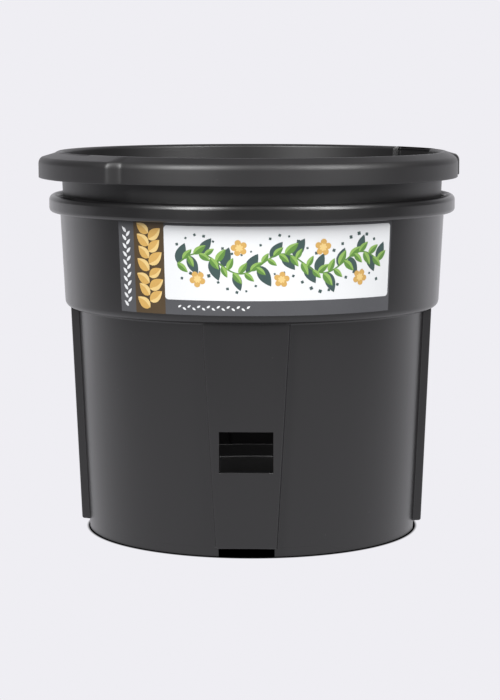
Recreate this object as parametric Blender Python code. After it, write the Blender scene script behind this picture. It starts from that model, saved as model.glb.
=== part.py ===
"""Potato growing pot: an inner pot with four large windows that lifts out of an outer pot.

Metres, +Z up. The origin is on the pots' axis at the ground, and the front is at -Y.
Angles are in degrees round the axis, 0 at the front (-Y) and rising towards +X.
"""

import math

import bmesh
import bpy
from mathutils import Matrix, Vector

MM = 0.001

# Walls and the play between the two pots
OUTER_WALL = 2.3 * MM
INNER_WALL = 2.2 * MM
REST_GAP = 0.3 * MM
BODY_PLAY = 1.3 * MM
COLLAR_PLAY = 1.1 * MM

# Outer pot: skirt, floor and body
OUTER_BASE_RADIUS = 151.9 * MM
BODY_DRAFT = 0.0492
FOOT_CHAMFER = 0.6 * MM
OUTER_FLOOR_UNDERSIDE = 12.0 * MM
OUTER_FLOOR_THICKNESS = 2.4 * MM
OUTER_FLOOR_FILLET = 0.8 * MM

# Outer pot: flat panels, and what is cut in them and under them
PANELS = 4
PANEL_FOOT_HEIGHT = 8.7 * MM
PANEL_FOOT_RADIUS = 2.0 * MM
PANEL_FOOT_DISTANCE = 157.3 * MM
PANEL_DRAFT = 0.0372
PANEL_FOOT_WIDTH = 53.0 * MM
PANEL_TOP_WIDTH = 74.6 * MM
PANEL_SIDE_LEAN = 0.4 * MM
WINDOW_SILL = 76.9 * MM
WINDOW_HEIGHT = 35.8 * MM
WINDOW_WIDTH = 46.8 * MM
NOTCH_WIDTH = 49.0 * MM
NOTCH_BELOW_PANEL = 0.6 * MM

# Outer pot: collar and rolled rim
COLLAR_FOOT_HEIGHT = 209.4 * MM
COLLAR_FOOT_OUTER_RADIUS = 172.6 * MM
COLLAR_CORNER = 6.0 * MM
COLLAR_DRAFT = 0.0487
LEDGE_FILLET = 2.4 * MM
OUTER_RIM_RADIUS = 186.7 * MM
OUTER_RIM_TOP = 310.7 * MM
OUTER_RIM_DEPTH = 16.2 * MM

# Inner pot: foot, floor and body
INNER_FLOOR_TOP = 36.8 * MM
INNER_FLOOR_THICKNESS = 2.2 * MM
INNER_FLOOR_FILLET = 2.0 * MM
STEP_HEIGHT = 267.6 * MM
STEP_CORNER = 2.2 * MM

# Inner pot: windows, with a pillar under each handle and two between
INNER_WINDOWS = 4
INNER_WINDOW_ABOVE_FLOOR = 13.2 * MM
INNER_WINDOW_BELOW_STEP = 24.6 * MM
INNER_WINDOW_SPAN = 67.0
INNER_WINDOW_CORNER = 7.0 * MM

# Inner pot: domed rim
INNER_RIM_RADIUS = 189.2 * MM
INNER_RIM_TOP = 350.8 * MM
INNER_RIM_DEPTH = 24.9 * MM
INNER_RIM_SHOULDER = 10.0 * MM
INNER_RIM_CHAMFER = 0.5 * MM
INNER_LIP_DROP = 3.2 * MM
INNER_LIP_FLARE = 1.0 * MM

# Inner pot: the two lifting handles in the rim
HANDLE_ANGLE = 118.8
HANDLE_SPAN = 48.0
HANDLE_BLEND = 5.7
HANDLE_BULGE = 7.4 * MM
HANDLE_DROP = 3.2 * MM
POCKET_SPAN = 21.0
POCKET_BLEND = 2.2
POCKET_DEPTH = 8.0 * MM
POCKET_FLOOR = 3.2 * MM
POCKET_CORNER = 1.0 * MM

# Shares of the handles' shape that the rim's inner parts take
CREST_BULGE = 0.8
CREST_POCKET = 0.2
LIP_DROP = 0.3
HOLLOW_SHARE = 0.5

# Drain holes
DRAIN_RADIUS = 4.5 * MM
DRAIN_CIRCLE = 100.0 * MM
OUTER_DRAINS = 4
INNER_DRAINS = 6
DRAIN_SIDES = 10

# Label: its two ends are measured round the collar's foot, from the middle of the front
LABEL_THICKNESS = 0.3 * MM
LABEL_ABOVE_COLLAR_CORNER = 5.7 * MM
LABEL_BELOW_RIM = 1.0 * MM
LABEL_LEFT_REACH = 117.8 * MM
LABEL_RIGHT_REACH = 135.9 * MM

# Facets
PANEL_FACETS = 5
ROUND_FACETS = 11
PLAIN_FACETS = 12
CORNER_FACETS = 3
DOME_FACETS = 4
LABEL_FACETS = 24
SHARP_ANGLE = 35.0

# How far a cutter reaches past the wall or floor that it cuts
CUT_PAST = 8.0 * MM
FLOOR_CUT_PAST = 2.0 * MM

# The rolled rim's skin from its lip to its lining: shares of its overhang past the collar's outside,
# and of its depth above its lowest point
OUTER_RIM_SKIN = [
    # (out, up)
    (0.64, 0.00),
    (0.89, 0.07),
    (1.00, 0.26),
    (1.00, 0.60),
    (0.85, 0.86),
    (0.44, 1.00),
    (0.10, 0.84),
    (-0.12, 0.44),
]

# Heights that follow from the sizes above
PANEL_TOP = COLLAR_FOOT_HEIGHT - COLLAR_CORNER - LEDGE_FILLET
OUTER_RIM_BOTTOM = OUTER_RIM_TOP - OUTER_RIM_DEPTH
INNER_RIM_BOTTOM = INNER_RIM_TOP - INNER_RIM_DEPTH
INNER_WINDOW_SILL = INNER_FLOOR_TOP + INNER_WINDOW_ABOVE_FLOOR
INNER_WINDOW_TOP = STEP_HEIGHT - INNER_WINDOW_BELOW_STEP
LABEL_BOTTOM = COLLAR_FOOT_HEIGHT + LABEL_ABOVE_COLLAR_CORNER
LABEL_TOP = OUTER_RIM_BOTTOM - LABEL_BELOW_RIM


def on_circle(radius, angle, height):
    """The point at this angle round the axis."""
    turn = math.radians(angle)
    return Vector((radius * math.sin(turn), -radius * math.cos(turn), height))


def smooth_step(value):
    value = min(max(value, 0.0), 1.0)
    return value * value * (3.0 - 2.0 * value)


def spread(first, last, parts):
    """Even steps from first to last, both ends among them."""
    return [first + (last - first) * i / parts for i in range(parts + 1)]


def arc(centre_radius, centre_height, size, first, last, parts):
    """(radius, height) points of a corner: 0 degrees points outwards and 90 up."""
    return [
        (
            centre_radius + size * math.cos(math.radians(turn)),
            centre_height + size * math.sin(math.radians(turn)),
        )
        for turn in spread(first, last, parts)
    ]


def close_rings(name, rings, bottom_height, top_height):
    """One closed body: rings of points from the underside's middle round to the floor's middle."""
    mesh = bmesh.new()
    rows = [[mesh.verts.new(point) for point in ring] for ring in rings]
    count = len(rows[0])
    under = mesh.verts.new((0.0, 0.0, bottom_height))
    over = mesh.verts.new((0.0, 0.0, top_height))
    for i in range(count):
        after = (i + 1) % count
        mesh.faces.new((under, rows[0][after], rows[0][i]))
        mesh.faces.new((over, rows[-1][i], rows[-1][after]))
        for low, high in zip(rows, rows[1:]):
            mesh.faces.new((low[i], low[after], high[after], high[i]))
    return finish_mesh(name, mesh)


def finish_mesh(name, mesh):
    bmesh.ops.recalc_face_normals(mesh, faces=mesh.faces)
    data = bpy.data.meshes.new(name)
    mesh.to_mesh(data)
    mesh.free()
    piece = bpy.data.objects.new(name, data)
    bpy.context.scene.collection.objects.link(piece)
    return piece


def shade(piece, sharp_angle):
    piece.data.shade_smooth()
    piece.data.set_sharp_from_angle(angle=math.radians(sharp_angle))


def plastic(name, colour, roughness):
    material = bpy.data.materials.new(name)
    material.use_nodes = True
    surface = material.node_tree.nodes["Principled BSDF"]
    surface.inputs["Base Color"].default_value = (*colour, 1.0)
    surface.inputs["Roughness"].default_value = roughness
    surface.inputs["Metallic"].default_value = 0.0
    return material


def cut(piece, cutter):
    """Takes the cutter's shape out of the piece."""
    cutter.hide_render = True
    cutter.display_type = "WIRE"
    cutter.parent = piece
    difference = piece.modifiers.new(cutter.name, "BOOLEAN")
    difference.operation = "DIFFERENCE"
    difference.solver = "EXACT"
    difference.object = cutter


def prism(name, outline, near, far, angle):
    """A cutter: an outline of (across, height) points, pushed outwards at this angle from near to far."""
    mesh = bmesh.new()
    turn = Matrix.Rotation(math.radians(angle), 4, "Z")
    ends = [
        [mesh.verts.new(turn @ Vector((across, -reach, height))) for across, height in outline]
        for reach in (near, far)
    ]
    count = len(outline)
    mesh.faces.new(ends[0])
    mesh.faces.new(ends[1])
    for i in range(count):
        after = (i + 1) % count
        mesh.faces.new((ends[0][i], ends[0][after], ends[1][after], ends[1][i]))
    return finish_mesh(name, mesh)


def drain_cutter(name, angle, underside, thickness):
    mesh = bmesh.new()
    middle = on_circle(DRAIN_CIRCLE, angle, underside + thickness / 2)
    bmesh.ops.create_cone(
        mesh,
        cap_ends=True,
        segments=DRAIN_SIDES,
        radius1=DRAIN_RADIUS,
        radius2=DRAIN_RADIUS,
        depth=thickness + 2 * FLOOR_CUT_PAST,
        matrix=Matrix.Translation(middle),
    )
    return finish_mesh(name, mesh)


def body_radius(height):
    """The outer pot's round outside, below the collar."""
    return OUTER_BASE_RADIUS + BODY_DRAFT * height


def collar_radius(height):
    """The collar's outside."""
    return COLLAR_FOOT_OUTER_RADIUS + COLLAR_DRAFT * (height - COLLAR_FOOT_HEIGHT)


def inner_body_radius(height):
    """The inner pot's outside below its step, with play inside the outer pot's wall."""
    return body_radius(height) - OUTER_WALL - BODY_PLAY


def band_radius(height):
    """The inner pot's outside above its step, with play inside the collar's wall."""
    return collar_radius(height) - OUTER_WALL - COLLAR_PLAY


def panel_section(height, inset):
    """(distance of the flat face from the axis, half its width) at this height."""
    share = (height - PANEL_FOOT_HEIGHT) / (PANEL_TOP - PANEL_FOOT_HEIGHT)
    width = PANEL_FOOT_WIDTH + (PANEL_TOP_WIDTH - PANEL_FOOT_WIDTH) * share
    distance = PANEL_FOOT_DISTANCE + PANEL_DRAFT * (height - PANEL_FOOT_HEIGHT)
    return distance - inset, width / 2 - inset


def panelled_ring(height, radius, inset=0.0, set_back=0.0, face_radius=None):
    """A ring of the outer pot where its panels show.

    radius is the round wall's, inset is the wall thickness on the inside, set_back draws the flat
    face in, and face_radius rounds the panels off to a circle.
    """
    distance, half_width = panel_section(height, inset)
    distance -= set_back
    foot_angle = math.degrees(math.asin((half_width + PANEL_SIDE_LEAN) / radius))
    ring = []
    for panel in range(PANELS):
        middle = 360.0 / PANELS * panel
        turn = Matrix.Rotation(math.radians(middle), 3, "Z")
        ring.append(on_circle(radius, middle - foot_angle, height))
        for across in spread(-half_width, half_width, PANEL_FACETS):
            point = Vector((across, -distance, height))
            if face_radius:
                point.xy = point.xy.normalized() * face_radius
            ring.append(turn @ point)
        last_angle = middle + 360.0 / PANELS - foot_angle
        ring += [
            on_circle(radius, angle, height)
            for angle in spread(middle + foot_angle, last_angle, ROUND_FACETS)[:-1]
        ]
    return ring


def plain_ring(height, radius):
    """A round ring with its points in line with the panelled rings' ones."""
    return panelled_ring(height, radius, face_radius=radius)


def offset(points, distance):
    """The (radius, height) line moved sideways, to the left of the way it runs."""
    moved = []
    for i, here in enumerate(points):
        before = Vector(points[max(i - 1, 0)])
        after = Vector(points[min(i + 1, len(points) - 1)])
        along = (after - before).normalized()
        moved.append((here[0] - along.y * distance, here[1] + along.x * distance))
    return moved


def outer_rim_profile():
    """(radius, height) from the collar's outside, under and over the rolled rim, to its lining."""
    wall_out = collar_radius(OUTER_RIM_BOTTOM)
    overhang = OUTER_RIM_RADIUS - wall_out
    skin = [
        (wall_out + out * overhang, OUTER_RIM_BOTTOM + up * OUTER_RIM_DEPTH)
        for out, up in OUTER_RIM_SKIN
    ]
    hollow = offset(skin, OUTER_WALL)
    return [(wall_out, OUTER_RIM_BOTTOM)] + list(reversed(hollow[1:])) + skin


def outer_pot():
    wall = OUTER_WALL
    fillet = OUTER_FLOOR_FILLET
    floor_under = OUTER_FLOOR_UNDERSIDE
    floor_top = floor_under + OUTER_FLOOR_THICKNESS
    panel_end = PANEL_FOOT_HEIGHT + PANEL_FOOT_RADIUS
    corner_middle = COLLAR_FOOT_OUTER_RADIUS - COLLAR_CORNER
    ledge = COLLAR_FOOT_HEIGHT - COLLAR_CORNER
    rings = [
        plain_ring(floor_under, body_radius(floor_under) - wall),
        plain_ring(0.0, body_radius(0.0) - wall),
        plain_ring(0.0, body_radius(0.0) - FOOT_CHAMFER),
        plain_ring(FOOT_CHAMFER, body_radius(FOOT_CHAMFER)),
        plain_ring(PANEL_FOOT_HEIGHT, body_radius(PANEL_FOOT_HEIGHT)),
        panelled_ring(PANEL_FOOT_HEIGHT, body_radius(PANEL_FOOT_HEIGHT), set_back=PANEL_FOOT_RADIUS),
        panelled_ring(panel_end, body_radius(panel_end)),
        panelled_ring(PANEL_TOP, body_radius(PANEL_TOP)),
        panelled_ring(ledge, corner_middle),
    ]
    for radius, height in arc(corner_middle, COLLAR_FOOT_HEIGHT, COLLAR_CORNER, -60, 0, CORNER_FACETS):
        rings.append(plain_ring(height, radius))
    for radius, height in outer_rim_profile():
        rings.append(plain_ring(height, radius))
    lining = OUTER_RIM_BOTTOM - wall
    rings.append(plain_ring(lining, collar_radius(lining) - wall))
    inside_corner = COLLAR_CORNER - wall
    for radius, height in arc(corner_middle, COLLAR_FOOT_HEIGHT, inside_corner, 0, -90, CORNER_FACETS):
        rings.append(plain_ring(height, radius))
    rings += [
        panelled_ring(PANEL_TOP + wall, body_radius(PANEL_TOP) - wall, wall),
        panelled_ring(floor_top + fillet, body_radius(floor_top) - wall, wall),
        panelled_ring(floor_top, body_radius(floor_top) - wall - fillet, wall, fillet),
    ]
    piece = close_rings("outer_pot", rings, floor_under, floor_top)
    piece.data.materials.append(plastic("anthracite_plastic", (0.045, 0.043, 0.046), 0.45))

    half_width = WINDOW_WIDTH / 2
    window_top = WINDOW_SILL + WINDOW_HEIGHT
    window = [
        (-half_width, WINDOW_SILL),
        (half_width, WINDOW_SILL),
        (half_width, window_top),
        (-half_width, window_top),
    ]
    face = panel_section(WINDOW_SILL, 0.0)[0]
    cut(piece, prism("window_cutter", window, face - CUT_PAST, face + CUT_PAST, 0.0))
    half_width = NOTCH_WIDTH / 2
    notch_top = PANEL_FOOT_HEIGHT - NOTCH_BELOW_PANEL
    notch = [
        (-half_width, -FLOOR_CUT_PAST),
        (half_width, -FLOOR_CUT_PAST),
        (half_width, notch_top),
        (-half_width, notch_top),
    ]
    for i in range(PANELS):
        angle = 360.0 / PANELS * i
        near = OUTER_BASE_RADIUS - wall - CUT_PAST
        cutter = prism(f"notch_cutter_{i + 1}", notch, near, OUTER_BASE_RADIUS + CUT_PAST, angle)
        cut(piece, cutter)
    for i in range(OUTER_DRAINS):
        angle = 360.0 / OUTER_DRAINS * (i + 0.5)
        cutter = drain_cutter(
            f"outer_drain_cutter_{i + 1}", angle, floor_under, OUTER_FLOOR_THICKNESS
        )
        cut(piece, cutter)
    shade(piece, SHARP_ANGLE)
    return piece


def handle_share(off_middle, span, blend):
    """1 inside the handle, 0 outside, with a smooth slope at its ends."""
    return 1.0 - smooth_step((abs(off_middle) - span / 2) / blend + 0.5)


def inner_columns():
    """Angles of the inner pot's points, measured from the middle of one handle, for half a turn."""
    handle_end = HANDLE_SPAN / 2
    half_blend = HANDLE_BLEND / 2
    pocket_end = POCKET_SPAN / 2
    half_pocket_blend = POCKET_BLEND / 2
    edge = pocket_end + half_pocket_blend
    side = [
        pocket_end / 2,
        pocket_end - half_pocket_blend,
        edge,
        (edge + handle_end - half_blend) / 2,
        handle_end - half_blend,
        handle_end - half_blend / 2,
        handle_end,
        handle_end + half_blend / 2,
        handle_end + half_blend,
    ]
    side += spread(handle_end + half_blend, 90.0, PLAIN_FACETS)[1:-1]
    return [-90.0] + [-angle for angle in reversed(side)] + [0.0] + side


def inner_ring(height, radius, bulge=0.0, drop=0.0, pocket=0.0):
    """A ring of the inner pot, with shares of the handles' bulge and drop and of the pockets' depth."""
    ring = []
    for handle in (HANDLE_ANGLE, HANDLE_ANGLE + 180.0):
        for off_middle in inner_columns():
            share = handle_share(off_middle, HANDLE_SPAN, HANDLE_BLEND)
            hollow = handle_share(off_middle, POCKET_SPAN, POCKET_BLEND)
            reach = radius + bulge * HANDLE_BULGE * share + pocket * POCKET_DEPTH * hollow
            ring.append(on_circle(reach, handle + off_middle, height - drop * HANDLE_DROP * share))
    return ring


def inner_rim_rings():
    """From the band's outside, through the rim's hollow, over its dome, to the band's inside."""
    wall = INNER_WALL
    bottom = INNER_RIM_BOTTOM
    outside = INNER_RIM_RADIUS
    crest = outside - INNER_RIM_SHOULDER
    shoulder = INNER_RIM_TOP - INNER_RIM_SHOULDER
    band = band_radius(bottom)
    lip = band - wall + INNER_LIP_FLARE
    lip_height = INNER_RIM_TOP - INNER_LIP_DROP
    pocket_under = bottom + POCKET_CORNER
    pocket_top = pocket_under + POCKET_FLOOR
    rings = [
        inner_ring(bottom, band),
        inner_ring(pocket_under, band, pocket=1.0),
        inner_ring(lip_height - wall, lip + wall, drop=1.0, pocket=1.0),
        inner_ring(
            INNER_RIM_TOP - wall, crest - wall, bulge=HOLLOW_SHARE, drop=1.0, pocket=HOLLOW_SHARE
        ),
    ]
    for radius, height in arc(crest, shoulder, INNER_RIM_SHOULDER - wall, 60, 0, 2):
        share = (height - shoulder) / INNER_RIM_SHOULDER
        rings.append(inner_ring(height, radius, bulge=1.0, drop=share))
    rings += [
        inner_ring(bottom, outside - wall, bulge=1.0),
        inner_ring(bottom, outside - INNER_RIM_CHAMFER, bulge=1.0),
        inner_ring(bottom + INNER_RIM_CHAMFER, outside, bulge=1.0),
    ]
    for radius, height in arc(crest, shoulder, INNER_RIM_SHOULDER, 0, 90, DOME_FACETS)[:-1]:
        share = (height - shoulder) / INNER_RIM_SHOULDER
        rings.append(inner_ring(height, radius, bulge=1.0, drop=share))
    rings += [
        inner_ring(INNER_RIM_TOP, crest, bulge=CREST_BULGE, drop=1.0, pocket=CREST_POCKET),
        inner_ring(lip_height, lip, drop=LIP_DROP, pocket=1.0),
        inner_ring(pocket_top, band - wall, pocket=1.0),
        inner_ring(pocket_top - POCKET_CORNER, band - wall),
    ]
    return rings


def inner_pot():
    wall = INNER_WALL
    fillet = INNER_FLOOR_FILLET
    foot = OUTER_FLOOR_UNDERSIDE + OUTER_FLOOR_THICKNESS + REST_GAP
    floor_under = INNER_FLOOR_TOP - INNER_FLOOR_THICKNESS
    below = STEP_HEIGHT - STEP_CORNER
    above = STEP_HEIGHT + STEP_CORNER
    step_in = inner_body_radius(below) + STEP_CORNER
    step_out = band_radius(above) - STEP_CORNER
    rings = [
        inner_ring(floor_under, inner_body_radius(floor_under) - wall),
        inner_ring(foot, inner_body_radius(foot) - wall),
        inner_ring(foot, inner_body_radius(foot) - FOOT_CHAMFER),
        inner_ring(foot + FOOT_CHAMFER, inner_body_radius(foot)),
        inner_ring(below, inner_body_radius(below)),
        inner_ring(STEP_HEIGHT, step_in),
        inner_ring(STEP_HEIGHT, step_out),
        inner_ring(above, band_radius(above)),
    ]
    rings += inner_rim_rings()
    rings += [
        inner_ring(above + wall, band_radius(above) - wall),
        inner_ring(STEP_HEIGHT + wall, step_out - wall),
        inner_ring(STEP_HEIGHT + wall, step_in - wall),
        inner_ring(below + wall, inner_body_radius(below) - wall),
        inner_ring(INNER_FLOOR_TOP + fillet, inner_body_radius(INNER_FLOOR_TOP) - wall),
        inner_ring(INNER_FLOOR_TOP, inner_body_radius(INNER_FLOOR_TOP) - wall - fillet),
    ]
    piece = close_rings("inner_pot", rings, floor_under, INNER_FLOOR_TOP)
    piece.data.materials.append(plastic("black_plastic", (0.04, 0.038, 0.04), 0.45))

    for i in range(INNER_WINDOWS):
        angle = HANDLE_ANGLE + 360.0 / INNER_WINDOWS * (i + 0.5)
        near = inner_body_radius(0.0) * math.cos(math.radians(INNER_WINDOW_SPAN / 2)) - CUT_PAST
        far = inner_body_radius(INNER_WINDOW_TOP) + CUT_PAST
        cut(piece, prism(f"inner_window_cutter_{i + 1}", window_outline(), near, far, angle))
    for i in range(INNER_DRAINS):
        angle = 360.0 / INNER_DRAINS * i
        cutter = drain_cutter(
            f"inner_drain_cutter_{i + 1}", angle, floor_under, INNER_FLOOR_THICKNESS
        )
        cut(piece, cutter)
    shade(piece, SHARP_ANGLE)
    return piece


def window_outline():
    """(across, height) outline of an inner window, wider at its top, with rounded corners."""
    half_span = math.sin(math.radians(INNER_WINDOW_SPAN / 2))
    low_half = half_span * inner_body_radius(INNER_WINDOW_SILL)
    high_half = half_span * inner_body_radius(INNER_WINDOW_TOP)
    size = INNER_WINDOW_CORNER
    corners = [
        (low_half - size, INNER_WINDOW_SILL + size, -90),
        (high_half - size, INNER_WINDOW_TOP - size, 0),
        (size - high_half, INNER_WINDOW_TOP - size, 90),
        (size - low_half, INNER_WINDOW_SILL + size, 180),
    ]
    outline = []
    for across, height, first in corners:
        outline += arc(across, height, size, first, first + 90, CORNER_FACETS)
    return outline


def label():
    """A film round the collar's front, clear of the collar's facets."""
    inside = REST_GAP
    outside = REST_GAP + LABEL_THICKNESS
    section = [
        (LABEL_BOTTOM, inside),
        (LABEL_BOTTOM, outside),
        (LABEL_TOP, outside),
        (LABEL_TOP, inside),
    ]
    first = -math.degrees(LABEL_LEFT_REACH / COLLAR_FOOT_OUTER_RADIUS)
    last = math.degrees(LABEL_RIGHT_REACH / COLLAR_FOOT_OUTER_RADIUS)
    mesh = bmesh.new()
    columns = []
    for angle in spread(first, last, LABEL_FACETS):
        points = [on_circle(collar_radius(height) + off, angle, height) for height, off in section]
        columns.append([mesh.verts.new(point) for point in points])
    mesh.faces.new(columns[0])
    mesh.faces.new(columns[-1])
    for left, right in zip(columns, columns[1:]):
        for i in range(len(section)):
            after = (i + 1) % len(section)
            mesh.faces.new((left[i], right[i], right[after], left[after]))
    piece = finish_mesh("label", mesh)
    piece.data.materials.append(plastic("printed_film", (0.8, 0.8, 0.78), 0.35))
    shade(piece, SHARP_ANGLE)
    return piece


for item in list(bpy.data.objects):
    bpy.data.objects.remove(item, do_unlink=True)

outer_pot()
inner_pot()
label()
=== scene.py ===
"""The looks of a two-part potato growing pot: an inner pot that lifts out of an outer pot.

Metres, +Z up, the front at -Y. Angles are in degrees round the pots' axis, 0 at the front and
rising towards +X.
"""

import math

import bmesh
import bpy
from mathutils import Matrix, Vector


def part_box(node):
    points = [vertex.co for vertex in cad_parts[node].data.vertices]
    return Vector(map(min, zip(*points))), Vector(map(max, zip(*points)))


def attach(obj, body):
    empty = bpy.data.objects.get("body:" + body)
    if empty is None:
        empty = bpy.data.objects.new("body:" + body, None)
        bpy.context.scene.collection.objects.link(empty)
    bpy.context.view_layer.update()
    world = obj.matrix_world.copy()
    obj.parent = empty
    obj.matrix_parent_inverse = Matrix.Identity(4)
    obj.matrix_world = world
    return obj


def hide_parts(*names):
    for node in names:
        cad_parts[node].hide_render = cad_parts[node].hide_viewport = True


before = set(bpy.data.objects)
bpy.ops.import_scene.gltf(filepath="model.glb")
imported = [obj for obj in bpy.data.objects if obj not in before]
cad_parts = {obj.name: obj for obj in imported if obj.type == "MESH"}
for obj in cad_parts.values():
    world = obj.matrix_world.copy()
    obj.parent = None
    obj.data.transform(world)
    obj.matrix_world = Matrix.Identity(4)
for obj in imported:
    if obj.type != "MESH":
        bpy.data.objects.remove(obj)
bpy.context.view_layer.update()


# The outer pot is one injection moulding in dark grey polypropylene with a satin grain. Its wall is
# 2.3 mm thick all over, also in its four flat panels, its stepped collar and its rolled rim.
# The front panel has a harvest window, and the foot skirt has a notch under each panel.
MM = 0.001

outer_wall = 2.3 * MM
base_radius = 151.9 * MM
body_draft = 0.0492
outer_floor_under = 12.0 * MM
outer_floor_top = 14.4 * MM
foot_rounding = 0.5 * MM
foot_edge_rounding = 1.0 * MM
outer_floor_fillet = 0.8 * MM
floor_edge = 120.0 * MM
floor_rings = (40.0 * MM, 80.0 * MM)
drain_circle = 100.0 * MM
drain_radius = 4.5 * MM
drain_ease = 0.5 * MM

panel_foot = 8.7 * MM
panel_foot_rounding = 2.0 * MM
panel_foot_distance = 157.3 * MM
panel_draft = 0.0372
panel_foot_width = 53.0 * MM
panel_top_width = 75.1 * MM
panel_lean = 0.4 * MM
panel_side_share = 0.6
panel_corner = 1.3 * MM
panel_inside_corner = 0.4 * MM
panel_fillet = 1.0 * MM

window_sill = 76.9 * MM
window_top = 112.7 * MM
window_half = 23.4 * MM
notch_half = 24.5 * MM
notch_top = 8.1 * MM
notch_foot_rounding = 1.5 * MM
lip_rounding = 0.5 * MM

ledge = 207.6 * MM
ledge_fillet = 2.4 * MM
panel_top = ledge - ledge_fillet
collar_corner = 6.0 * MM
collar_foot = ledge + collar_corner
collar_foot_radius = 172.8 * MM
collar_draft = 0.0487

rim_radius = 186.7 * MM
rim_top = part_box("outer_pot")[1].z
rim_bottom = rim_top - 16.2 * MM
rim_lip_easing = 0.6 * MM
rim_lip_reach = 3.8 * MM
rim_edge_rounding = 3.6 * MM
rim_shoulder_rounding = 5.4 * MM
rim_crown_width = 9.0 * MM
rim_crown_rounding = 4.3 * MM
rim_mouth_recess = 1.3 * MM
rim_mouth_rise = 7.1 * MM
rim_mouth_fillet = 8.0 * MM

row_spacing = 8.0 * MM
border_columns = 5
face_columns = 3
corner_columns = 4
wall_columns = 40


def body_radius(height):
    return base_radius + body_draft * height


def collar_radius(height):
    return collar_foot_radius + collar_draft * (height - collar_foot)


def on_circle(radius, angle, height):
    turn = math.radians(angle)
    return (radius * math.sin(turn), -radius * math.cos(turn), height)


def spread(first, last, parts):
    return [first + (last - first) * i / parts for i in range(parts + 1)]


def smooth(value):
    value = min(max(value, 0.0), 1.0)
    return value * value * (3.0 - 2.0 * value)


def rounded_line(corners, step=15.0):
    """(radius, height) points along a line, each inner corner rounded by its own third value."""
    points = [corners[0][:2]]
    for before, here, after in zip(corners, corners[1:], corners[2:]):
        middle = Vector(here[:2])
        coming = (middle - Vector(before[:2])).normalized()
        going = (Vector(after[:2]) - middle).normalized()
        turn = math.atan2(coming.x * going.y - coming.y * going.x, coming.dot(going))
        reach = here[2] * math.tan(abs(turn) / 2)
        side = Vector((-coming.y, coming.x)) * math.copysign(here[2], turn)
        start = middle - coming * reach
        centre = start + side
        parts = max(2, math.ceil(abs(math.degrees(turn)) / step))
        for i in range(parts + 1):
            points.append(tuple(centre + Matrix.Rotation(turn * i / parts, 2) @ (start - centre)))
    points.append(corners[-1][:2])
    return points


def offset(points, distance):
    """The (radius, height) line moved sideways, to the left of the way it runs."""
    moved = []
    for i, here in enumerate(points):
        before = Vector(points[max(i - 1, 0)])
        after = Vector(points[min(i + 1, len(points) - 1)])
        along = (after - before).normalized()
        moved.append((here[0] - along.y * distance, here[1] + along.x * distance))
    return moved


def with_rows(points, heights):
    """The line with points added at these heights, and between them wherever it runs on too far."""
    filled = [points[0]]
    for (r0, z0), (r1, z1) in zip(points, points[1:]):
        stops = sorted(h for h in heights if min(z0, z1) + 1e-6 < h < max(z0, z1) - 1e-6)
        stops = [z0] + (stops if z1 > z0 else stops[::-1])
        for start, stop in zip(stops, stops[1:] + [z1]):
            parts = max(1, math.ceil(abs(stop - start) / row_spacing - 1e-6))
            for height in spread(start, stop, parts)[1:]:
                share = (height - z0) / (z1 - z0) if abs(z1 - z0) > 1e-9 else 1.0
                filled.append((r0 + (r1 - r0) * share, height))
    return filled


def at_row(height, rows):
    return min(abs(height - row) for row in rows) < 1e-7


def panel_size(height, inset):
    """(distance of the flat face from the axis, half its width) at this height."""
    share = (height - panel_foot) / (panel_top - panel_foot)
    width = panel_foot_width + (panel_top_width - panel_foot_width) * share
    distance = panel_foot_distance + panel_draft * (height - panel_foot)
    return distance - inset, width / 2 - inset


def half_panel(height, inset, set_back):
    """(across, outward) points from a panel's middle line to its foot on the round wall."""
    distance, half = panel_size(height, inset)
    distance -= set_back
    half -= panel_side_share * set_back
    radius = body_radius(height) - inset
    corner = panel_inside_corner if inset else panel_corner
    fillet = panel_fillet + inset
    share = min(max((height - notch_top) / (window_sill - notch_top), 0.0), 1.0)
    border = notch_half + (window_half + lip_rounding - notch_half) * share
    points = [(across, distance) for across in spread(0.0, border, border_columns)]
    points += [(across, distance) for across in spread(border, half - corner, face_columns)[1:]]
    for turn in spread(90.0, 0.0, corner_columns)[1:]:
        turn = math.radians(turn)
        side = half + corner * (math.cos(turn) - 1)
        points.append((side, distance + corner * (math.sin(turn) - 1)))
    across = half + panel_lean + fillet
    outward = math.sqrt((radius + fillet) ** 2 - across**2)
    last = 180.0 + math.degrees(math.atan2(outward, across))
    for turn in spread(180.0, last, corner_columns):
        turn = math.radians(turn)
        points.append((across + fillet * math.cos(turn), outward + fillet * math.sin(turn)))
    return points


def outer_ring(height, radius, inset=0.0, set_back=0.0, panelled=False):
    """One ring of points. Off the panels they lie on the circle, at the panels' own angles.

    Below the panels the angles shift, so that a column runs straight down each side of a notch.
    """
    level = min(max(height, panel_foot), panel_top)
    half = half_panel(level, inset if panelled else 0.0, set_back)
    angles = [math.degrees(math.atan2(across, outward)) for across, outward in half]
    radii = [radius] * len(half)
    if panelled:
        radii = [max(math.hypot(across, outward), radius) for across, outward in half]
    if height <= panel_foot and not panelled:
        border = angles[border_columns]
        wide = math.degrees(math.asin(notch_half / base_radius))
        room = angles[-1] - border
        angles = [
            a * wide / border if a <= border else wide + (a - border) * (angles[-1] - wide) / room
            for a in angles
        ]
    between = spread(angles[-1], 90.0 - angles[-1], wall_columns)[1:-1]
    angles = [-angle for angle in reversed(angles[1:])] + angles + between
    radii = radii[:0:-1] + radii + [radius] * len(between)
    ring = []
    for quarter in range(4):
        ring += [on_circle(r, a + 90.0 * quarter, height) for r, a in zip(radii, angles)]
    return ring


def bridge(mesh, near, far):
    for i in range(len(near)):
        after = (i + 1) % len(near)
        mesh.faces.new((near[i], near[after], far[after], far[i]))


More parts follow.
